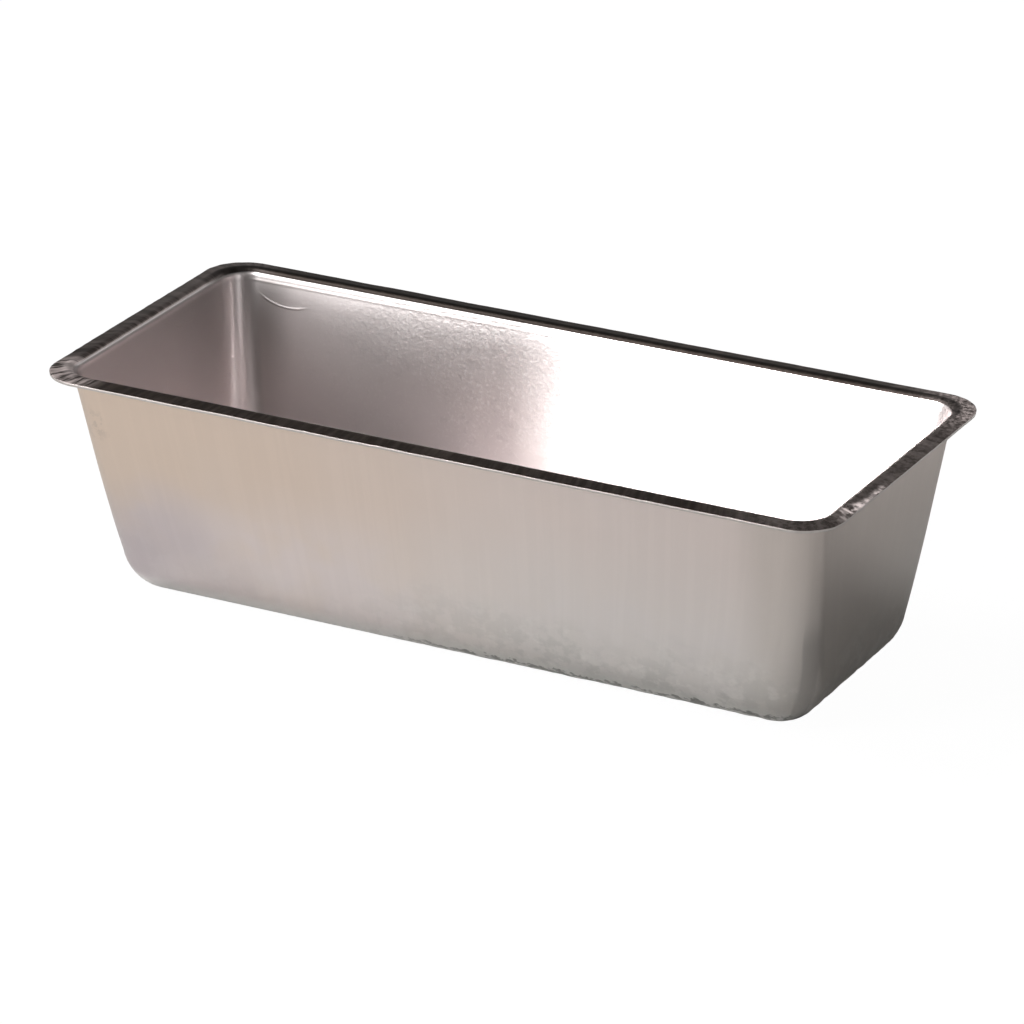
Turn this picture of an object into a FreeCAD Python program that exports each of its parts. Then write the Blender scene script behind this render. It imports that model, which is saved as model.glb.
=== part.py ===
"""Loaf pan, deep drawn from one blank of aluminium sheet.

The pan is a single seamless piece of metal: a flat base, a rounded base edge, four walls
that lean outwards, rounded upright corners, and a flat flange turned out round the mouth.

Frame: origin at the centre of the base's underside, +X along the pan's length,
+Y across its width, +Z up. Sizes are in millimetres, angles in degrees.
"""

import FreeCAD
import Part
import math
import os
from FreeCAD import Vector

# Driving dimensions
RIM_LENGTH = 250.0          # overall, across the flange
RIM_WIDTH = 110.0
RIM_CORNER_RADIUS = 12.6    # trimmed outer corner of the flange
HEIGHT = 72.0               # base's underside to the flange's top
SHEET = 0.9                 # sheet thickness
OVERHANG = 5.4              # flange's edge to the outside of the wall, at the flange's top
END_TAPER = 6.9             # lean of the two end walls
SIDE_TAPER = 10.2           # lean of the two long walls
MOUTH_CORNER_RADIUS = 9.5   # upright corners, outside, at the flange
BASE_CORNER_RADIUS = 16.0   # upright corners, outside, at the base
BASE_EDGE_RADIUS = 14.8     # base to walls, outside
MOUTH_BEND_RADIUS = 2.4     # walls to flange, on the inside of the pan

# Worked out from the driving dimensions
END_SLOPE = math.tan(math.radians(END_TAPER))
SIDE_SLOPE = math.tan(math.radians(SIDE_TAPER))
END_OFFSET = SHEET / math.cos(math.radians(END_TAPER))    # sheet thickness, measured level
SIDE_OFFSET = SHEET / math.cos(math.radians(SIDE_TAPER))
MOUTH_LENGTH = RIM_LENGTH - 2 * OVERHANG                  # outside of the walls, at the top
MOUTH_WIDTH = RIM_WIDTH - 2 * OVERHANG
CLOSE = 0.01                                              # two heights that count as one


def rounded_rectangle(length, width, radius, height):
    """A closed wire of four straight edges and four corner arcs, level, centred on Z."""
    across, deep = length / 2 - radius, width / 2 - radius
    centres = [(across, deep), (-across, deep), (-across, -deep), (across, -deep)]
    arcs = []
    for quarter, (x, y) in enumerate(centres):
        start = math.radians(90 * quarter)
        points = []
        for turn in (start, start + math.pi / 4, start + math.pi / 2):
            points.append(Vector(x + radius * math.cos(turn), y + radius * math.sin(turn), height))
        arcs.append(Part.Arc(*points).toShape())
    edges = []
    for this, following in zip(arcs, arcs[1:] + arcs[:1]):
        edges.append(this)
        edges.append(Part.makeLine(this.lastVertex().Point, following.firstVertex().Point))
    return Part.Wire(edges)


def wall_outline(height, inwards=0):
    """The wall's outline at a height: its outside, or with inwards=1 its inside."""
    below = HEIGHT - height
    corner_share = below / HEIGHT
    length = MOUTH_LENGTH - 2 * below * END_SLOPE - 2 * inwards * END_OFFSET
    width = MOUTH_WIDTH - 2 * below * SIDE_SLOPE - 2 * inwards * SIDE_OFFSET
    radius = MOUTH_CORNER_RADIUS + corner_share * (BASE_CORNER_RADIUS - MOUTH_CORNER_RADIUS)
    return rounded_rectangle(length, width, radius - inwards * SHEET, height)


def is_level(edge, height):
    """True if the whole edge lies at one height."""
    return all(abs(z - height) < CLOSE for z in (edge.BoundBox.ZMin, edge.BoundBox.ZMax))


def tapered_body(floor, inwards, edge_radius):
    """A solid tub shape with a rounded base edge, from the floor to the flange's top."""
    outlines = [wall_outline(floor, inwards), wall_outline(HEIGHT, inwards)]
    tub = Part.makeLoft(outlines, True, True)
    base_edges = [edge for edge in tub.Edges if is_level(edge, floor)]
    return tub.makeFillet(edge_radius, base_edges)


def flange_plate():
    """The flange before its middle is opened: a flat plate with rounded corners."""
    outline = rounded_rectangle(RIM_LENGTH, RIM_WIDTH, RIM_CORNER_RADIUS, HEIGHT - SHEET)
    return Part.Face(outline).extrude(Vector(0, 0, SHEET))


def mouth_edges(shape, height):
    """The level edges round the mouth at a height, leaving out the flange's outer outline."""
    reach_x, reach_y = RIM_LENGTH / 2 - CLOSE, RIM_WIDTH / 2 - CLOSE
    reach_corner = math.hypot(reach_x, reach_y) - OVERHANG
    found = []
    for edge in shape.Edges:
        middle = edge.valueAt((edge.FirstParameter + edge.LastParameter) / 2)
        on_side = abs(middle.x) > reach_x or abs(middle.y) > reach_y
        on_corner = math.hypot(middle.x, middle.y) > reach_corner
        if is_level(edge, height) and not on_side and not on_corner:
            found.append(edge)
    return found


def drawn_pan():
    """The whole pan: outer body and flange, hollowed, with the bend at the mouth rounded."""
    outside = tapered_body(0, 0, BASE_EDGE_RADIUS)
    inside = tapered_body(SHEET, 1, BASE_EDGE_RADIUS - SHEET)
    pan = outside.fuse(flange_plate()).cut(inside).removeSplitter()
    pan = pan.makeFillet(MOUTH_BEND_RADIUS, mouth_edges(pan, HEIGHT))
    return pan.makeFillet(MOUTH_BEND_RADIUS - SHEET, mouth_edges(pan, HEIGHT - SHEET))


def main():
    os.makedirs("parts", exist_ok=True)
    pan = drawn_pan()
    print("valid", pan.isValid(), "solids", len(pan.Solids), "volume", round(pan.Volume),
          "box", pan.BoundBox)
    pan.exportStep("parts/pan_body.step")


main()
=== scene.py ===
"""The looks of a deep-drawn aluminium loaf pan, built round its CAD frame.

The pan is one sheet. It is shaped here as a press shapes it: a patterned blank of rows and
columns is drawn to the pan's form, takes the marks of the press, and is then given its thickness.
Metres, with +X along the pan, -Y its front and +Z up.
"""

import math

import bmesh
import bpy
from mathutils import Matrix, Vector, noise

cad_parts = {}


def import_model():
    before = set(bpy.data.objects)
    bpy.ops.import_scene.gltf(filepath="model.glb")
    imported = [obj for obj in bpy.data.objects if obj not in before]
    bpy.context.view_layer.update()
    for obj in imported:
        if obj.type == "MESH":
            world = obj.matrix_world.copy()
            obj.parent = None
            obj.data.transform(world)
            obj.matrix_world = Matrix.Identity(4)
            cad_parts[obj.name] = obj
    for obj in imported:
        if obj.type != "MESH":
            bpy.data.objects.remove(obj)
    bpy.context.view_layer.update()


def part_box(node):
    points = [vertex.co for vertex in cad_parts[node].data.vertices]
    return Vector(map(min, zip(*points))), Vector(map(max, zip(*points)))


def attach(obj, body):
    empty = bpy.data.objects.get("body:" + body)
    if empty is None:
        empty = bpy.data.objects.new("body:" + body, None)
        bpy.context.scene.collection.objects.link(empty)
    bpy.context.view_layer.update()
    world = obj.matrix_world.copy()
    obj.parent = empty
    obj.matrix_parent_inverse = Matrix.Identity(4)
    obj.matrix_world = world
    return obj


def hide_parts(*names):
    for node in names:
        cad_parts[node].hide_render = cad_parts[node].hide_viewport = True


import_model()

MM = 0.001
TINY = 1e-6                         # points nearer than this are one point

# Sizes. The outer ones come from the frame, the rest repeat the design's.
RIM_X, RIM_Y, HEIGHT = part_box("pan_body")[1]
SHEET = 0.9 * MM
OVERHANG = 5.4 * MM
RIM_CORNER = 12.6 * MM
MOUTH_CORNER = 9.5 * MM
BASE_CORNER = 16.0 * MM
BASE_EDGE = 14.8 * MM
BEND = 1.5 * MM                     # radius under the flange, where wall turns into flange
FLAT = OVERHANG - BEND              # width of the flange's flat part
END_TAPER = math.radians(6.9)
SIDE_TAPER = math.radians(10.2)

# How finely the sheet is divided
FLANGE_ROWS = 7
BEND_ROWS = 7
CREASE_ROWS = 7
WALL_ROWS = 14
FILLET_ROWS = 12
CORNER_COLUMNS = 22
LONG_COLUMNS = 82                   # from a corner to the middle of a long side
SHORT_COLUMNS = 46

# Marks of the press on the flange
DROOP = 0.55 * MM                   # how far its edge hangs below its bend
PUCKER = 0.020 * MM                 # how deep it is puckered, and how much deeper
PUCKER_LEFT = 0.035 * MM            # along the left-hand end,
PUCKER_CORNER = 0.050 * MM          # at the corners
PUCKER_CRUMPLED = 0.075 * MM        # and in its crumpled stretch
CRUMPLE = Vector((0.1225, -0.0275, 0))   # middle of that stretch, on the right-hand end
SAG = 0.10 * MM                     # slow rise and fall along it
SETTLE = 0.05 * MM                  # how far it lies lower throughout
EDGE_WAVE = 0.16 * MM               # how far its cut edge wanders inward
EDGE_CRUMPLED = 0.30 * MM           # and how much further where it is crumpled

# Marks of the press on the walls
CREASE = HEIGHT - 3.4 * MM          # height of the line that the die's lip leaves
CREASE_LOW = HEIGHT - 4.2 * MM      # the rows are close together down to here, to carry it
CREASE_HALF = 0.30 * MM
CREASE_DEPTH = 0.020 * MM
CREASE_SIDE = 0.025 * MM            # how much deeper it is on the long walls
PRESSED = 0.06 * MM                 # how far the walls stand inside the design's
FLARE = 0.17 * MM                   # and how much further, well below the line
FLARE_FADE = 5 * MM
SOFT = 0.09 * MM                    # slow unevenness
FOOT_CREASE = 0.17 * MM             # depth of the crumpled foot


# ---------------------------------------------------------------- the sheet

def steps(first, last, count):
    """count evenly spaced values after first, ending on last."""
    return [first + (last - first) * (i + 1) / count for i in range(count)]


def arc(centre, radius, start, end, count):
    """Points after the first one of an arc in the section's plane, in radians from straight out."""
    return [(centre[0] + radius * math.cos(a), centre[1] + radius * math.sin(a))
            for a in steps(start, end, count)]


def section(half, taper):
    """The sheet's outside, cut across one wall: (outward, up) from the cut edge to the base."""
    slope = math.tan(taper)
    underside = HEIGHT - SHEET
    mouth = half - OVERHANG

    def wall(z):
        return mouth - (HEIGHT - z) * slope

    bend_low = underside - BEND + BEND * math.sin(taper)
    bend_centre = (wall(bend_low) + BEND * math.cos(taper), underside - BEND)
    fillet_top = BASE_EDGE - BASE_EDGE * math.sin(taper)
    fillet_centre = (wall(fillet_top) - BASE_EDGE * math.cos(taper), BASE_EDGE)
    points = [(half, underside)]
    points += [(x, underside) for x in steps(half, bend_centre[0], FLANGE_ROWS)]
    points += arc(bend_centre, BEND, math.pi / 2, math.pi - taper, BEND_ROWS)
    points += [(wall(z), z) for z in steps(bend_low, CREASE_LOW, CREASE_ROWS)]
    points += [(wall(z), z) for z in steps(CREASE_LOW, fillet_top, WALL_ROWS)]
    points += arc(fillet_centre, BASE_EDGE, -taper, -math.pi / 2, FILLET_ROWS)
    return points


def corner_radius(outward, up):
    """The upright corner's radius at a point of the end wall's section."""
    wall_top, wall_low = HEIGHT - SHEET - BEND, BASE_EDGE * (1 - math.sin(END_TAPER))
    z = min(max(up, wall_low), wall_top)
    wall = RIM_X - OVERHANG - (HEIGHT - z) * math.tan(END_TAPER)
    on_wall = MOUTH_CORNER + (BASE_CORNER - MOUTH_CORNER) * ((HEIGHT - z) / HEIGHT) ** 3
    past_wall = outward - wall
    if past_wall > 0:
        return on_wall + (RIM_CORNER - on_wall) * past_wall / (RIM_X - wall)
    return on_wall * (1 + past_wall / BASE_EDGE)


def press_rows():
    """Each row's (end's outward, side's outward, corner radius, end's up, side's up)."""
    rows = []
    for (x, x_up), (y, y_up) in zip(section(RIM_X, END_TAPER), section(RIM_Y, SIDE_TAPER)):
        rows.append((x, y, corner_radius(x, x_up), x_up, y_up))
    x, y, radius, x_up, y_up = rows[-1]
    rows.append((x - radius, y - radius, 0, x_up, y_up))
    return rows


def blank_quarter(row_count):
    """A quarter of the blank: a corner spun a quarter turn, its two straight runs and the base.

    A vertex's x and y are 0 to 1 round the corner and 0 to -1 along the runs. The last row has no
    corner: it goes round the flat middle of the base.
    """
    bm = bmesh.new()
    row_of = bm.verts.layers.int.new("row")
    last = row_count - 1
    chain = []
    for row in range(row_count):
        vert = bm.verts.new((0 if row == last else 1, 0, row))
        vert[row_of] = row
        chain.append(vert)
    edges = [bm.edges.new(pair) for pair in zip(chain, chain[1:])]
    turned = bmesh.ops.spin(bm, geom=chain + edges, axis=(0, 0, 1), angle=math.pi / 2,
                            steps=CORNER_COLUMNS)["geom_last"]
    bmesh.ops.spin(bm, geom=turned, axis=(0, 0, 1), dvec=(-1 / LONG_COLUMNS, 0, 0),
                   angle=0, steps=LONG_COLUMNS)
    bmesh.ops.spin(bm, geom=chain + edges, axis=(0, 0, 1), dvec=(0, -1 / SHORT_COLUMNS, 0),
                   angle=0, steps=SHORT_COLUMNS)

    # The middle of the base is the last row's short run, carried along the pan.
    core = {v for v in bm.verts
            if v[row_of] == last and abs(v.co.x) < TINY and v.co.y < TINY}
    seam = [e for e in bm.edges if core.issuperset(e.verts) and e.calc_length() > TINY]
    ends = list(dict.fromkeys(v for e in seam for v in e.verts))
    bmesh.ops.spin(bm, geom=ends + seam, axis=(0, 0, 1), dvec=(-1 / LONG_COLUMNS, 0, 0),
                   angle=0, steps=LONG_COLUMNS)
    return bm, row_of


def drawn_sheet():
    """The whole sheet's outside, drawn to shape and marked.

    Each vertex keeps the point of the mouth that it was drawn past, and its run from the cut edge.
    """
    rows = press_rows()
    bm, row_of = blank_quarter(len(rows))
    lines = bm.verts.layers.float_vector.new("draw_line")
    reach = bm.verts.layers.float.new("reach")
    lengths = [0.0]
    for before, after in zip(rows, rows[1:]):
        lengths.append(lengths[-1] + math.hypot(after[0] - before[0], after[3] - before[3]))
    mouth_x, mouth_y, mouth_radius = rows[FLANGE_ROWS][:3]
    for vert in bm.verts:
        blank = vert.co.copy()
        out = Vector((max(blank.x, 0), max(blank.y, 0)))
        if out.length > TINY:
            out.normalize()
        along = (1 + min(blank.x, 0), 1 + min(blank.y, 0))
        x, y, radius, x_up, y_up = rows[vert[row_of]]
        vert.co = ((x - radius) * along[0] + radius * out.x,
                   (y - radius) * along[1] + radius * out.y,
                   x_up * (1 - out.y ** 2) + y_up * out.y ** 2)
        vert[lines] = ((mouth_x - mouth_radius) * along[0] + mouth_radius * out.x,
                       (mouth_y - mouth_radius) * along[1] + mouth_radius * out.y, 0)
        vert[reach] = lengths[vert[row_of]]
    bmesh.ops.remove_doubles(bm, verts=bm.verts, dist=TINY)
    for axis in "XY":
        bmesh.ops.mirror(bm, geom=bm.verts[:] + bm.edges[:] + bm.faces[:], matrix=Matrix(),
                         merge_dist=TINY, axis=axis)
    for vert in bm.verts:
        line = vert[lines]
        vert[lines] = (math.copysign(line.x, vert.co.x), math.copysign(line.y, vert.co.y), 0)
    bmesh.ops.recalc_face_normals(bm, faces=bm.faces)
    lowest = min(bm.faces, key=lambda face: face.calc_center_median().length)
    if lowest.normal.z > 0:
        bmesh.ops.reverse_faces(bm, faces=bm.faces)
    press_marks(bm, lines, reach)
    return bm


def ramp(value, low, high):
    """0 below low, 1 above high, or the other way round, and smooth between."""
    share = min(max((value - low) / (high - low), 0), 1)
    return share * share * (3 - 2 * share)


def uneven(point, size, share, other):
    """Smooth noise with bumps of one size, and a share of it with bumps of another."""
    return noise.noise(point / size) + share * noise.noise(point / other)


def flange_marks(line, run):
    """How far the press leaves a point of the flange above flat, and inside its edge."""
    corner = ramp(min(abs(line.x) - RIM_X, abs(line.y) - RIM_Y), -22 * MM, -6 * MM)
    left_end = ramp(line.x, -RIM_X + 12 * MM, -RIM_X + 6 * MM)
    crumpled = ramp((line - CRUMPLE).length, 19 * MM, 6 * MM)
    on_flange = ramp(run, FLAT + 1.0 * MM, FLAT - 2.2 * MM)
    across = Vector((line.x, line.y, run * 0.12))
    pucker = (PUCKER + PUCKER_LEFT * left_end + PUCKER_CORNER * corner
              + PUCKER_CRUMPLED * crumpled)
    up = on_flange * (pucker * uneven(across, 2.6 * MM, 0.6, 5.5 * MM)
                      + SAG * uneven(across, 17 * MM, 0.5, 9 * MM) - SETTLE)
    up -= DROOP * max(0, 1 - run / FLAT)
    wander = ramp(run, FLAT * 0.6, 0) * (EDGE_WAVE + EDGE_CRUMPLED * crumpled)
    return up, wander * abs(uneven(across, 7 * MM, 0.5, 3 * MM))


def wall_marks(place, line, run):
    """How far the press leaves a point of the walls inside the design's surface."""
    wall = ramp(run, FLAT + 2 * MM, FLAT + 5 * MM) * ramp(place.z, 0.5 * MM, 12 * MM)
    soft = SOFT * uneven(place, 38 * MM, 0.5, 15 * MM)
    flare = FLARE * (1 - math.exp(-max(0, CREASE - place.z) / FLARE_FADE))
    foot = (ramp(line.x, -RIM_X * 0.45, RIM_X * 0.45) * ramp(run, 40 * MM, 45 * MM)
            * ramp(place.z, 15 * MM, 5 * MM) * ramp(place.z, 0.1 * MM, 1.5 * MM))
    creases = max(0, 0.5 + 1.2 * uneven(place, 3.6 * MM, 0.5, 7 * MM))
    lip = math.exp(-((place.z - CREASE) / CREASE_HALF) ** 2) if run > FLAT + BEND else 0
    side = ramp(abs(line.y) - RIM_Y, -12 * MM, -7 * MM)
    return (wall * (PRESSED + soft + flare) + FOOT_CREASE * foot * creases
            + lip * (CREASE_DEPTH + CREASE_SIDE * side))


def press_marks(bm, lines, reach):
    """Move the sheet by the press's marks, such as puckers, a crease and soft walls."""
    bm.normal_update()
    moves = []
    for vert in bm.verts:
        up, inward = flange_marks(vert[lines], vert[reach])
        pressed = wall_marks(vert.co, vert[lines], vert[reach])
        out = Vector((vert.co.x, vert.co.y, 0)).normalized()
        moves.append(Vector((0, 0, up)) - vert.normal * pressed - out * inward)
    for vert, move in zip(bm.verts, moves):
        vert.co += move


def pan_object():
    """The pan, its sheet given thickness and the corners of its cut edge eased."""
    bm = drawn_sheet()
    for face in bm.faces:
        face.smooth = True
    mesh = bpy.data.meshes.new("drawn_pan")
    bm.to_mesh(mesh)
    bm.free()
    pan = bpy.data.objects.new("drawn_pan", mesh)
    bpy.context.scene.collection.objects.link(pan)
    thick = pan.modifiers.new("sheet", "SOLIDIFY")
    thick.thickness = SHEET
    thick.offset = -1
    thick.use_even_offset = True
    thick.material_offset = 1
    thick.material_offset_rim = 2
    eased = pan.modifiers.new("cut_edge", "BEVEL")
    eased.width = 0.12 * MM
    eased.segments = 2
    eased.limit_method = "ANGLE"
    eased.angle_limit = math.radians(60)
    return pan


# ---------------------------------------------------------------- finishes

# Metal outside
OUTSIDE = (0.790, 0.700, 0.665, 1)
OUTSIDE_WARM_REFLECTION = (0.750, 0.614, 0.512, 1)
OUTSIDE_LILAC = (0.780, 0.710, 0.740, 1)
OUTSIDE_GREY = (0.770, 0.745, 0.725, 1)
LOW_LEFT_TONE_AND_SHADE = (0.560, 0.500, 0.520, 1)
RIGHT_END_PAINTED_SHADE = (0.545, 0.500, 0.455, 1)
FOOT_BAND_AND_SHADE = (0.620, 0.622, 0.595, 1)
FOOT_MOTTLE = (0.490, 0.492, 0.468, 1)
FOOT_WISPS = (0.880, 0.855, 0.830, 1)
FOOT_TURNED = (0.900, 0.885, 0.860, 1)
FOOT_SHADE_LINE = (0.160, 0.157, 0.142, 1)
DRAW_STREAKS = (0.10, 0.09, 0.09, 1)
CORNER_STREAKS = (0.40, 0.375, 0.36, 1)
SCUFFS = (0.45, 0.38, 0.34, 1)

# Metal inside
INSIDE = (0.730, 0.672, 0.664, 1)
INSIDE_PALE = (0.790, 0.734, 0.726, 1)
INSIDE_LEFT_END_SHADE = (0.415, 0.385, 0.378, 1)
PEEL_GLINTS = (0.98, 0.94, 0.93, 1)
PEEL_PITS = (0.40, 0.365, 0.36, 1)

# The flange's dark colour, partly a real stain and partly painted dark reflection, and where it has
# come off
STAIN_AND_DARK_REFLECTION = (0.068, 0.053, 0.046, 1)
PALE_STAIN_AND_DARK_REFLECTION = (0.125, 0.100, 0.088, 1)
STAIN_ENDS = (0.40, 0.345, 0.330, 1)
STAIN_BACK_LEFT = (0.42, 0.37, 0.355, 1)
STAIN_BLOTCHES = (0.50, 0.43, 0.415, 1)
STAIN_WORN = (0.76, 0.66, 0.64, 1)
STAIN_TORN = (0.66, 0.59, 0.575, 1)
# painted shade on the back's bend
BEND_PAINTED_SHADE = (0.022, 0.018, 0.016, 1)
# painted highlight on the flange's inner part at the front left corner
FLANGE_GLINT = (0.95, 0.84, 0.82, 1)

# The sheared edge
EDGE = (0.50, 0.465, 0.445, 1)
EDGE_PALE = (0.72, 0.670, 0.645, 1)

# Places of single marks. The ones at height 0 are points of the mouth.
STREAKED_CORNER = (0.1190, -0.0470, 0)
SCUFFED_SPOT = (-0.1105, -0.0470, 0.0560)
WORN_FRONT_LEFT = (-0.1160, -0.0470, 0)
WORN_BACK_RIGHT = (0.1170, 0.0440, 0)
# where that painted highlight sits, as a point of the mouth
FLANGE_GLINT_FRONT_LEFT = (-0.1175, -0.0440, 0)


class Finish:
    """A material's or world's node tree, with short calls for the nodes that it uses."""

    def __init__(self, owner):
        owner.use_nodes = True
        self.tree = owner.node_tree

    def node(self, kind, inputs=None, **settings):
        made = self.tree.nodes.new(kind)
        for name, value in settings.items():
            setattr(made, name, value)
        for name, value in (inputs or {}).items():
            self.feed(made.inputs[name], value)
        return made

    def feed(self, socket, value):
        if isinstance(value, bpy.types.NodeSocket):
            self.tree.links.new(value, socket)
        else:
            socket.default_value = value

    def math(self, operation, *values):
        made = self.node("ShaderNodeMath", operation=operation)
        for socket, value in zip(made.inputs, values):
            self.feed(socket, value)
        return made.outputs[0]

    def product(self, first, *others):
        """Shares multiplied together."""
        for other in others:
            first = self.math("MULTIPLY", first, other)
        return first

    def plus(self, value, share, amount):
        """A value with a share of an amount added."""
        return self.math("MULTIPLY_ADD", share, amount, value)

    def fade(self, value, low, high):
        """0 below low, 1 above high (or the other way round), and smooth between."""
        made = self.node("ShaderNodeMapRange", interpolation_type="SMOOTHSTEP")
        for name, given in (("Value", value), ("From Min", low), ("From Max", high)):
            self.feed(made.inputs[name], given)
        return made.outputs["Result"]

    def mix(self, share, low, high):
        """A blend of two colours."""
        made = self.node("ShaderNodeMix", data_type="RGBA")
        sockets = made.inputs[0], made.inputs[6], made.inputs[7]
        for socket, value in zip(sockets, (share, low, high)):
            self.feed(socket, value)
        return made.outputs[2]

    def wash(self, under, tint, share, strength):
        """A tint over a colour, as strong as strength where share is 1."""
        return self.mix(self.product(share, strength), under, tint)


class SheetFinish(Finish):
    """A bare metal on the pan's sheet, its colour, roughness and bumps still to be linked.

    It knows a point's place (and x, y, z), the mouth's point on its draw line, and its reach,
    the run from the cut edge.
    """

    def __init__(self, name):
        self.material = bpy.data.materials.new(name)
        super().__init__(self.material)
        self.surface = self.tree.nodes["Principled BSDF"].inputs
        self.surface["Metallic"].default_value = 1
        self.place = self.node("ShaderNodeTexCoord").outputs["Object"]
        self.x, self.y, self.z = self.node("ShaderNodeSeparateXYZ", {"Vector": self.place}).outputs
        self.line = self.node("ShaderNodeAttribute", attribute_name="draw_line").outputs["Vector"]
        self.reach = self.node("ShaderNodeAttribute", attribute_name="reach").outputs["Fac"]

    def cloud(self, vector, size, detail, rough, offset=(0, 0, 0)):
        """Noise from 0 to 1 with patches of about the given size in metres."""
        moved = self.node("ShaderNodeVectorMath", {0: vector, 1: offset}, operation="ADD")
        return self.node("ShaderNodeTexNoise", {
            "Vector": moved.outputs[0], "Scale": 0.5 / size, "Detail": detail, "Roughness": rough,
        }).outputs[0]

    def drawn(self, slip):
        """A vector that changes quickly round the pan and slip times as quickly down the wall."""
        down = self.node("ShaderNodeCombineXYZ", {"Z": self.product(self.reach, slip)}).outputs[0]
        return self.node("ShaderNodeVectorMath", {0: self.line, 1: down},
                         operation="ADD").outputs[0]

    def near(self, place, centre, far, close):
        """1 within close of a point and 0 beyond far."""
        gap = self.node("ShaderNodeVectorMath", {0: place, 1: centre}, operation="DISTANCE")
        return self.fade(gap.outputs["Value"], far, close)

    def crescent(self, across, centre, radius, width, middle, half):
        """A thin ridge on a wall, along the foot of a circle for half either side of middle."""
        side = self.math("SUBTRACT", across, centre[0])
        rise = self.math("SUBTRACT", self.z, centre[1])
        gap = self.math("SQRT", self.math("MULTIPLY_ADD", side, side, self.product(rise, rise)))
        off_ring = self.math("ABSOLUTE", self.math("SUBTRACT", gap, radius))
        off_middle = self.math("ABSOLUTE", self.math("SUBTRACT", across, middle))
        return self.product(self.fade(off_ring, width, 0), self.fade(off_middle, half, half * 0.6),
                            self.fade(rise, 0, -0.3 * radius))

    def bumps(self, height, distance, strength, under=None):
        inputs = {"Height": height, "Distance": distance, "Strength": strength}
        if under is not None:
            inputs["Normal"] = under
        return self.node("ShaderNodeBump", inputs).outputs[0]


def outer_tone(paint, broad, drift):
    """The outside's broad colours: warm at the left, a painted warm reflection; cloudy; greyer low
    down and at the right; darker low at the left, partly painted shade; and darker on the
    right-hand end, painted shade.
    """
    leftness = paint.plus(paint.x, broad, 0.10)
    lowness = paint.plus(paint.z, drift, -0.022)
    # painted warm reflection towards the left
    warm_reflection = paint.product(paint.fade(leftness, 0.12, -0.06), paint.fade(lowness, 0.002, 0.030))
    colour = paint.mix(warm_reflection, OUTSIDE, OUTSIDE_WARM_REFLECTION)
    lilac = paint.product(paint.fade(drift, 0.44, 0.60), paint.fade(paint.z, 0.050, 0.020))
    colour = paint.wash(colour, OUTSIDE_LILAC, lilac, 0.40)
    greyer = paint.product(paint.fade(paint.plus(paint.z, broad, -0.03), 0.050, -0.004),
                           paint.plus(0.25, paint.fade(paint.x, -0.05, 0.05), 0.55))
    colour = paint.mix(greyer, colour, OUTSIDE_GREY)
    # darker low at the left: partly a real finish, partly painted contact shade
    low_left = paint.product(paint.fade(leftness, -0.010, -0.060),
                             paint.fade(lowness, 0.036, 0.002))
    colour = paint.wash(colour, LOW_LEFT_TONE_AND_SHADE, low_left, 0.85)
    # painted shade over the right-hand end, which reflects the pan's shadow on the floor
    return paint.wash(colour, RIGHT_END_PAINTED_SHADE, paint.fade(paint.x, 0.090, 0.106), 0.50)


def foot_band(paint, patches):
    """Where the foot is mottled and darker, partly a real finish and partly painted contact shade:
    strongest towards the right, half as strong on the end.
    """
    low = paint.plus(paint.z, patches, -0.026)
    rightward = paint.product(paint.plus(0.15, paint.fade(paint.x, -0.055, 0.055), 0.85),
                              paint.plus(1.0, paint.fade(paint.x, 0.096, 0.106), -0.5))
    return paint.product(paint.fade(low, 0.014, -0.004), rightward)


def foot_tone(paint, colour, band, flattened, mottle):
    """The foot's mottling and pale wisps over a colour, partly a real finish and partly painted
    shade and highlights of its crumples, and its broken dark line of painted contact shade at the
    front.
    """
    # darker band at the foot: partly a real finish, partly painted contact shade
    colour = paint.wash(colour, FOOT_BAND_AND_SHADE, band, 0.35)
    # dark mottle and pale wisps: partly the real crumpled finish, partly painted shade and
    # highlights of the crumples
    stain_and_shade = paint.product(band, paint.fade(mottle, 0.44, 0.56))
    colour = paint.wash(colour, FOOT_MOTTLE, stain_and_shade, 0.34)
    wisps = paint.cloud(flattened, 3.4 * MM, 4.0, 0.62, (0.6, 0.1, 0.3))
    wisps = paint.product(band, paint.fade(wisps, 0.50, 0.60))
    colour = paint.wash(colour, FOOT_WISPS, wisps, 0.45)
    colour = paint.wash(colour, FOOT_TURNED, paint.fade(paint.z, 0.0090, 0.0030), 0.75)

    # a broken dark line of painted contact shade low on the foot, at the front
    wander = paint.cloud(paint.place, 1.6 * MM, 3.0, 0.65, (0.1, 0.9, 0.2))
    off_line = paint.math("SUBTRACT", paint.plus(paint.z, wander, -0.0060), 0.0010)
    line = paint.fade(paint.math("ABSOLUTE", off_line), 0.0014, 0.0006)
    broken = paint.cloud(paint.place, 2.6 * MM, 3.0, 0.7, (0.7, 0.3, 0.9))
    line = paint.product(line, paint.fade(paint.y, -0.018, -0.030),
                         paint.fade(broken, 0.42, 0.54), paint.fade(paint.x, -0.040, 0.010))
    return paint.wash(colour, FOOT_SHADE_LINE, line, 0.70)


def outer_wear(paint, colour, streaks):
    """Draw streaks, dark streaks low on the right front corner and the scuffs at the upper left."""
    colour = paint.wash(colour, DRAW_STREAKS, paint.fade(streaks, 0.62, 0.46), 0.018)
    corner_streaks = paint.cloud(paint.drawn(0.10), 2.2 * MM, 2.0, 0.5, (0.05, 0.02, 0.4))
    corner_streaks = paint.product(paint.near(paint.line, STREAKED_CORNER, 9 * MM, 4 * MM),
                           paint.fade(paint.z, 0.040, 0.028), paint.fade(corner_streaks, 0.50, 0.62))
    colour = paint.wash(colour, CORNER_STREAKS, corner_streaks, 0.55)
    scuffs = paint.cloud(paint.place, 1.3 * MM, 3.0, 0.7, (0.2, 0.5, 0.1))
    scuffs = paint.product(paint.fade(scuffs, 0.52, 0.60),
                           paint.near(paint.place, SCUFFED_SPOT, 7 * MM, 2 * MM))
    return paint.wash(colour, SCUFFS, scuffs, 0.30)


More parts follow.
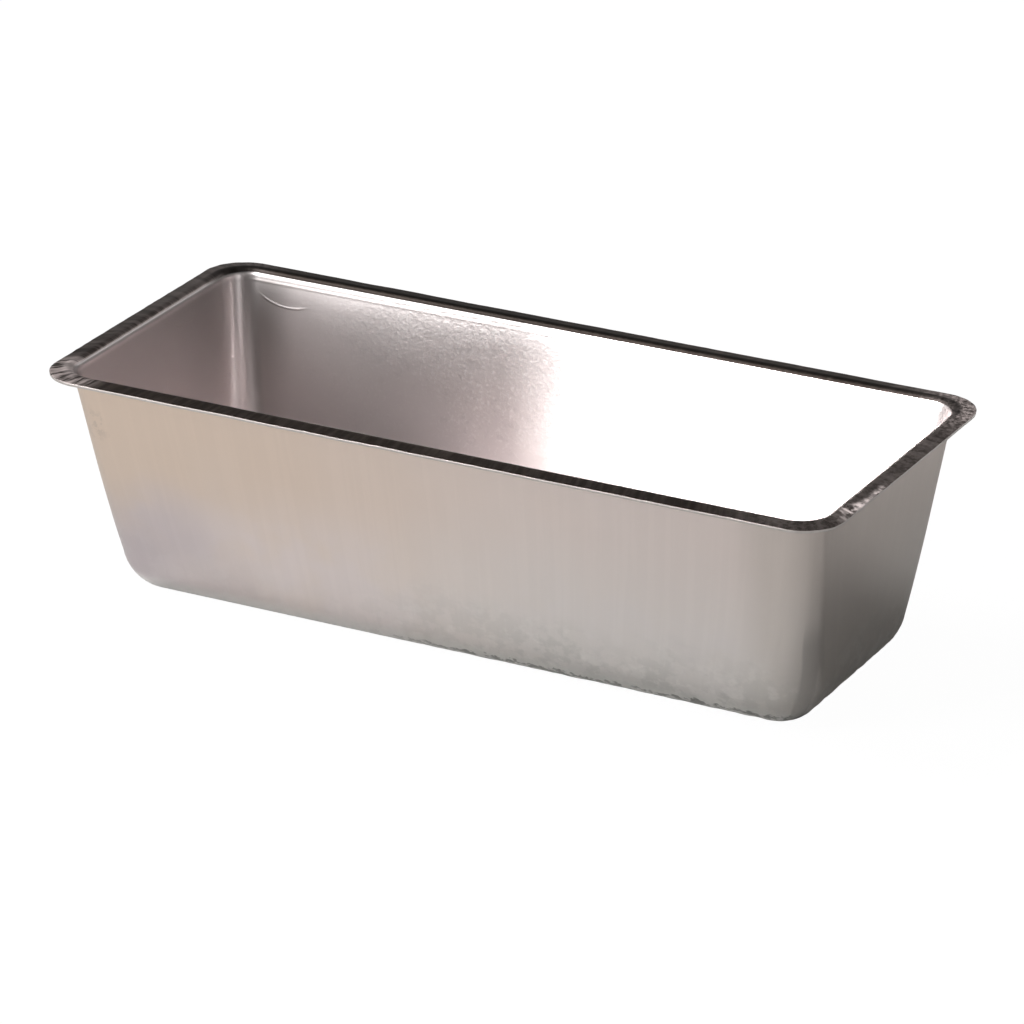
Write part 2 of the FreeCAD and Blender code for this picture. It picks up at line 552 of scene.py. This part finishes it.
def outer_sheet():
    """The outside: satin, faintly streaked down the walls, mottled and crumpled at the foot, where
    its colour also carries painted shade and highlights.
    """
    paint = SheetFinish("outer_sheet")
    broad = paint.cloud(paint.place, 45 * MM, 3.0, 0.55)
    drift = paint.cloud(paint.place, 17 * MM, 3.0, 0.6, (0.9, 0.4, 0.1))
    patches = paint.cloud(paint.place, 13 * MM, 3.0, 0.6, (0.3, 0.1, 0.2))
    flattened = paint.node("ShaderNodeMapping", {"Vector": paint.place, "Scale": (0.8, 0.8, 1.0)})
    flattened = flattened.outputs[0]
    mottle = paint.cloud(flattened, 2.4 * MM, 4.0, 0.60)
    streaks = paint.cloud(paint.drawn(0.03), 1.6 * MM, 3.0, 0.6)
    grain = paint.cloud(paint.place, 0.35 * MM, 2.0, 0.5)
    band = foot_band(paint, patches)

    colour = outer_tone(paint, broad, drift)
    colour = foot_tone(paint, colour, band, flattened, mottle)
    paint.feed(paint.surface["Base Color"], outer_wear(paint, colour, streaks))

    rough = paint.plus(paint.plus(0.31, drift, 0.06), mottle, 0.05)
    paint.feed(paint.surface["Roughness"], rough)

    fine = paint.math("ADD", paint.product(streaks, 0.12), paint.product(grain, 0.40))
    bumped = paint.bumps(fine, 0.03 * MM, 0.45)
    bumped = paint.bumps(patches, 0.14 * MM, 0.5, bumped)
    bumped = paint.bumps(paint.product(mottle, band), 0.42 * MM, 1.0, bumped)
    paint.feed(paint.surface["Normal"], bumped)
    return paint.material


def inner_tone(paint, broad, peel, cells, peeled):
    """The inside's colours: a left-hand end darkened by painted shade, and the flecks and pits of
    the orange peel, partly painted glints and shade.
    """
    colour = paint.mix(broad, INSIDE, INSIDE_PALE)
    # painted shade over the left-hand end, darker higher up
    left_end = paint.product(paint.fade(paint.x, -0.095, -0.107),
                             paint.plus(0.50, paint.fade(paint.z, 0.028, 0.066), 0.50),
                             paint.fade(paint.z, 0.0705, 0.0685))
    colour = paint.wash(colour, INSIDE_LEFT_END_SHADE, left_end, 0.85)
    # bright flecks and dark pits of the orange peel: partly its real texture, partly painted glints
    # and shade on the back wall's upper part
    glints = paint.product(paint.fade(peel, 0.54, 0.66), peeled)
    colour = paint.wash(colour, PEEL_GLINTS, glints, 0.50)
    pits = paint.product(paint.fade(cells, 0.46, 0.30), peeled)
    return paint.wash(colour, PEEL_PITS, pits, 0.25)


def flange_stain_and_dark_reflection(paint, colour, rough):
    """The flange's dark, streaky colour over the inside, partly a real stain and partly painted
    dark reflection: its colour, roughness and ribs.
    """
    y, line, reach = paint.y, paint.line, paint.reach
    across = paint.drawn(0.15)
    fine = paint.cloud(across, 0.75 * MM, 3.0, 0.65)
    coarse = paint.cloud(across, 2.6 * MM, 3.0, 0.6, (0.11, 0.07, 0.0))
    specks = paint.cloud(paint.place, 0.8 * MM, 3.0, 0.75)
    back = paint.fade(y, 0.030, 0.044)
    rightward = paint.fade(paint.x, 0.085, 0.112)
    leftward = paint.fade(paint.x, -0.100, -0.114)
    endward = paint.math("ADD", leftward, rightward)
    streaky = paint.mix(rightward, fine, specks)

    # The dark colour itself, stain with painted dark reflection, thinner and streakier on the ends
    stain_and_shade = paint.mix(paint.fade(streaky, 0.36, 0.68), STAIN_AND_DARK_REFLECTION, PALE_STAIN_AND_DARK_REFLECTION)
    thin = paint.product(endward, paint.plus(0.25, paint.fade(streaky, 0.40, 0.62), 0.75))
    stain_and_shade = paint.wash(stain_and_shade, STAIN_ENDS, thin, 0.55)
    back_left = paint.product(leftward, paint.fade(y, -0.020, 0.035))
    stain_and_shade = paint.wash(stain_and_shade, STAIN_BACK_LEFT, back_left, 0.28)
    blotches = paint.product(endward, paint.fade(coarse, 0.46, 0.66))
    stain_and_shade = paint.wash(stain_and_shade, STAIN_BLOTCHES, blotches, 0.35)

    # Two worn corners
    front_left = paint.product(paint.near(line, WORN_FRONT_LEFT, 14 * MM, 7 * MM),
                               paint.fade(fine, 0.41, 0.54))
    back_right = paint.product(paint.near(line, WORN_BACK_RIGHT, 20 * MM, 4 * MM),
                               paint.fade(specks, 0.34, 0.68))
    worn = paint.math("ADD", front_left, back_right)
    stain_and_shade = paint.wash(stain_and_shade, STAIN_WORN, worn, 0.80)

    # The crumpled stretch, torn bright towards its edge
    in_from_edge = paint.plus(paint.plus(reach, coarse, 3 * MM),
                              paint.fade(y, -0.036, -0.026), 2.6 * MM)
    ragged = paint.cloud(paint.place, 1.3 * MM, 3.0, 0.75)
    hatch = paint.fade(paint.cloud(across, 0.5 * MM, 2.0, 0.6, (0.03, 0.0, 0.0)), 0.40, 0.56)
    torn = paint.product(paint.near(line, tuple(CRUMPLE), 18 * MM, 8 * MM),
                         paint.fade(in_from_edge, 6.8 * MM, 4.6 * MM),
                         paint.fade(ragged, 0.42, 0.52), paint.plus(0.45, hatch, 0.55))
    stain_and_shade = paint.wash(stain_and_shade, STAIN_TORN, torn, 0.85)

    # Painted shade on the back's bend, darkest of all, and a painted highlight on the flange's
    # inner part at the front left corner
    bend_shade = paint.product(paint.fade(reach, FLAT - 0.8 * MM, FLAT + 0.3 * MM), back)
    stain_and_shade = paint.wash(stain_and_shade, BEND_PAINTED_SHADE, bend_shade, 0.88)
    flange_glint = paint.product(paint.near(line, FLANGE_GLINT_FRONT_LEFT, 8 * MM, 3 * MM),
                           paint.fade(reach, 2.4 * MM, 4.2 * MM))
    stain_and_shade = paint.wash(stain_and_shade, FLANGE_GLINT, flange_glint, 0.85)

    # Where the flange's dark colour of stain and painted dark reflection lies
    dark_flange = paint.fade(paint.plus(reach, back, -0.35 * MM), FLAT + 1.75 * MM, FLAT + 1.30 * MM)
    rough = paint.plus(rough, dark_flange, paint.plus(-0.03, fine, 0.20))
    loose = paint.math("ADD", paint.product(torn, 0.34), paint.product(worn, 0.15))
    rough = paint.plus(rough, dark_flange, loose)
    ribs = paint.product(dark_flange, paint.plus(0.3, endward, 0.7),
                         paint.math("ADD", streaky, paint.product(coarse, 1.5)))
    return paint.mix(dark_flange, colour, stain_and_shade), rough, ribs


def crescents(paint):
    """Shallow marks high on the inside: one on the back wall, two smaller ones on the left end."""
    behind = paint.crescent(paint.x, centre=(-0.0995, 0.0812), radius=19 * MM, width=0.60 * MM,
                            middle=-0.1015, half=9.0 * MM)
    left = paint.math(
        "ADD", paint.crescent(paint.y, centre=(0.0200, 0.0700), radius=6 * MM, width=0.4 * MM,
                              middle=0.0200, half=5 * MM),
        paint.crescent(paint.y, centre=(0.0150, 0.0690), radius=5 * MM, width=0.4 * MM,
                       middle=0.0150, half=4 * MM))
    behind = paint.product(paint.fade(paint.y, 0.030, 0.034), behind)
    left = paint.product(paint.fade(paint.x, -0.105, -0.109), left, 1.2)
    return paint.math("ADD", behind, left)


def inner_sheet():
    """The inside, with the orange peel of deep drawing (its bright flecks partly painted glints), a
    left-hand end in painted shade, and the flange's dark top, partly stained and partly painted
    dark reflection.
    """
    paint = SheetFinish("inner_sheet")
    broad = paint.cloud(paint.place, 30 * MM, 3.0, 0.6)
    peel = paint.cloud(paint.place, 0.50 * MM, 2.0, 0.6)
    cells = paint.cloud(paint.place, 1.3 * MM, 2.0, 0.6, (0.4, 0.2, 0.1))
    patchy = paint.cloud(paint.place, 9 * MM, 2.0, 0.5, (0.7, 0.2, 0.4))
    peeled = paint.product(paint.fade(paint.plus(paint.z, patchy, 0.05), 0.045, 0.088),
                           paint.fade(paint.y, 0.020, 0.034), paint.fade(paint.x, -0.112, -0.040))

    colour = inner_tone(paint, broad, peel, cells, peeled)
    colour, rough, ribs = flange_stain_and_dark_reflection(paint, colour, paint.plus(0.27, broad, 0.07))
    paint.feed(paint.surface["Base Color"], colour)
    paint.feed(paint.surface["Roughness"], rough)

    peeling = paint.product(paint.math("ADD", peel, paint.product(cells, 0.9)),
                            paint.plus(0.12, peeled, 0.88))
    bumped = paint.bumps(peeling, 0.075 * MM, 0.7)
    bumped = paint.bumps(ribs, 0.07 * MM, 0.8, bumped)
    bumped = paint.bumps(crescents(paint), 0.038 * MM, 1.0, bumped)
    paint.feed(paint.surface["Normal"], bumped)
    return paint.material


def cut_edge():
    """The sheet's sheared edge, paler than the flange and a little torn."""
    paint = SheetFinish("cut_edge")
    torn = paint.cloud(paint.line, 0.8 * MM, 3.0, 0.6)
    paint.feed(paint.surface["Base Color"], paint.mix(torn, EDGE, EDGE_PALE))
    paint.feed(paint.surface["Roughness"], paint.plus(0.34, torn, 0.16))
    paint.feed(paint.surface["Normal"], paint.bumps(torn, 0.05 * MM, 0.6))
    return paint.material


pan = pan_object()
for finished in (outer_sheet(), inner_sheet(), cut_edge()):
    pan.data.materials.append(finished)
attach(pan, "root")
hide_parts("pan_body")


# ---------------------------------------------------------------- studio

# The camera: its direction from the pan in degrees, what it looks at, how far off, and its lens
VIEW_AZIMUTH, VIEW_ELEVATION = 27.87, 22.98
VIEW_TARGET = Vector((-2.2, 5.9, 30.7)) * MM
VIEW_DISTANCE = 1.693
LENS_MM = 206.6

# The lamp that whites out the inside, and what it is aimed at
GLARE_LAMP = (-0.45, -1.05, 0.565)
GLARE_AIM = (0.0910, 0.046, 0.034)

FLOOR_GREY = (0.66, 0.66, 0.655, 1)
FLOOR_GLOW = 1.06                   # the white that the camera sees over the floor,
FLOOR_SHARE = 0.92                  # and how much of the floor it covers
ROOM_GREY = (0.145, 0.142, 0.140, 1)
WHITE = (1, 1, 1, 1)
BLACK = (0.02, 0.02, 0.02, 1)


def stage_piece(name, bm, material):
    """An object of the studio, which isn't part of the pan."""
    mesh = bpy.data.meshes.new(name)
    bm.to_mesh(mesh)
    bm.free()
    mesh.materials.append(material)
    obj = bpy.data.objects.new(name, mesh)
    bpy.context.scene.collection.objects.link(obj)
    return obj


def floor():
    """A matt pale floor, which the camera sees nearly white."""
    material = bpy.data.materials.new("pale_floor")
    paint = Finish(material)
    shader = paint.tree.nodes["Principled BSDF"]
    shader.inputs["Base Color"].default_value = FLOOR_GREY
    shader.inputs["Roughness"].default_value = 0.9
    glow = paint.node("ShaderNodeEmission", {"Color": WHITE, "Strength": FLOOR_GLOW})
    seen = paint.node("ShaderNodeLightPath").outputs["Is Camera Ray"]
    lifted = paint.node("ShaderNodeMixShader", {
        0: paint.product(seen, FLOOR_SHARE), 1: shader.outputs[0], 2: glow.outputs[0]})
    paint.feed(paint.tree.nodes["Material Output"].inputs["Surface"], lifted.outputs[0])
    bm = bmesh.new()
    bmesh.ops.create_grid(bm, x_segments=1, y_segments=1, size=6)
    stage_piece("floor", bm, material)


def flag(lamp, edge_y, edge_z, half_width, share=0.6, low=-0.07):
    """A black card, a share of the way from a lamp, that shades all below an edge of the pan.

    Its shadow on the edge's upright plane runs from the edge down to low.
    """
    lamp = Vector(lamp)
    shadow = ((-half_width, edge_z), (half_width, edge_z), (half_width, low), (-half_width, low))
    bm = bmesh.new()
    bm.faces.new([bm.verts.new(lamp + (Vector((x, edge_y, z)) - lamp) * share)
                  for x, z in shadow])
    material = bpy.data.materials.new("black_card")
    material.use_nodes = True
    material.node_tree.nodes["Principled BSDF"].inputs["Base Color"].default_value = BLACK
    stage_piece("flag", bm, material).visible_camera = False


def towards(azimuth, elevation):
    """A direction from the pan: azimuth 0 is the front, 90 the right-hand end."""
    azimuth, elevation = math.radians(azimuth), math.radians(elevation)
    return Vector((math.sin(azimuth) * math.cos(elevation),
                   -math.cos(azimuth) * math.cos(elevation), math.sin(elevation)))


def lamp_object(name, light, place, back):
    """A lamp at a place, hidden from the camera, its back in the direction given."""
    obj = bpy.data.objects.new(name, light)
    bpy.context.scene.collection.objects.link(obj)
    obj.location = place
    obj.rotation_euler = back.to_track_quat("Z", "Y").to_euler()
    obj.visible_camera = False


def softbox(name, azimuth, elevation, brightness, distance=2.0, spread=0.4):
    """A square lamp, as wide seen from the pan and as bright at any distance.

    Its power is 4 watts per square metre for each unit of brightness.
    """
    light = bpy.data.lights.new(name, "AREA")
    light.size = spread * distance
    light.energy = 4 * brightness * (spread * distance) ** 2
    place = towards(azimuth, elevation) * distance
    lamp_object(name, light, place, place)


def spot_lamp(name, place, aim, angle, radius, power):
    """A lamp with a cone of the given angle in degrees, fading from its middle to its edge."""
    light = bpy.data.lights.new(name, "SPOT")
    light.energy = power
    light.spot_size = math.radians(angle)
    light.spot_blend = 1.0
    light.shadow_soft_size = radius
    lamp_object(name, light, Vector(place), Vector(place) - Vector(aim))


def camera():
    data = bpy.data.cameras.new("camera")
    data.sensor_width = 36
    data.lens = LENS_MM
    data.clip_end = 20
    back = towards(VIEW_AZIMUTH, VIEW_ELEVATION)
    obj = bpy.data.objects.new("camera", data)
    bpy.context.scene.collection.objects.link(obj)
    obj.location = VIEW_TARGET + back * VIEW_DISTANCE
    obj.rotation_mode = "QUATERNION"
    obj.rotation_quaternion = back.to_track_quat("Z", "Y")
    bpy.context.scene.camera = obj


def world():
    """An even, dim room for the metal to reflect, which the camera itself sees as white."""
    scene = bpy.context.scene
    scene.world = bpy.data.worlds.new("studio")
    room = Finish(scene.world)
    seen = room.node("ShaderNodeLightPath").outputs["Is Camera Ray"]
    background = room.tree.nodes["Background"]
    room.feed(background.inputs["Color"], room.mix(seen, ROOM_GREY, WHITE))
    scene.view_settings.view_transform = "Standard"


floor()
softbox("front_left", azimuth=-30, elevation=32, brightness=9.5, distance=0.8)
softbox("left", azimuth=-80, elevation=56, brightness=7.5)
softbox("front_left_low", azimuth=-30, elevation=10, brightness=2.0)
softbox("right_low", azimuth=58, elevation=12, brightness=2.0, spread=0.22)
softbox("back_right", azimuth=150, elevation=32, brightness=0.9)
spot_lamp("glare", GLARE_LAMP, GLARE_AIM, angle=9.5, radius=0.004, power=470)
flag(GLARE_LAMP, edge_y=-RIM_Y, edge_z=HEIGHT + 2 * MM, half_width=RIM_X + 0.02)
camera()
world()
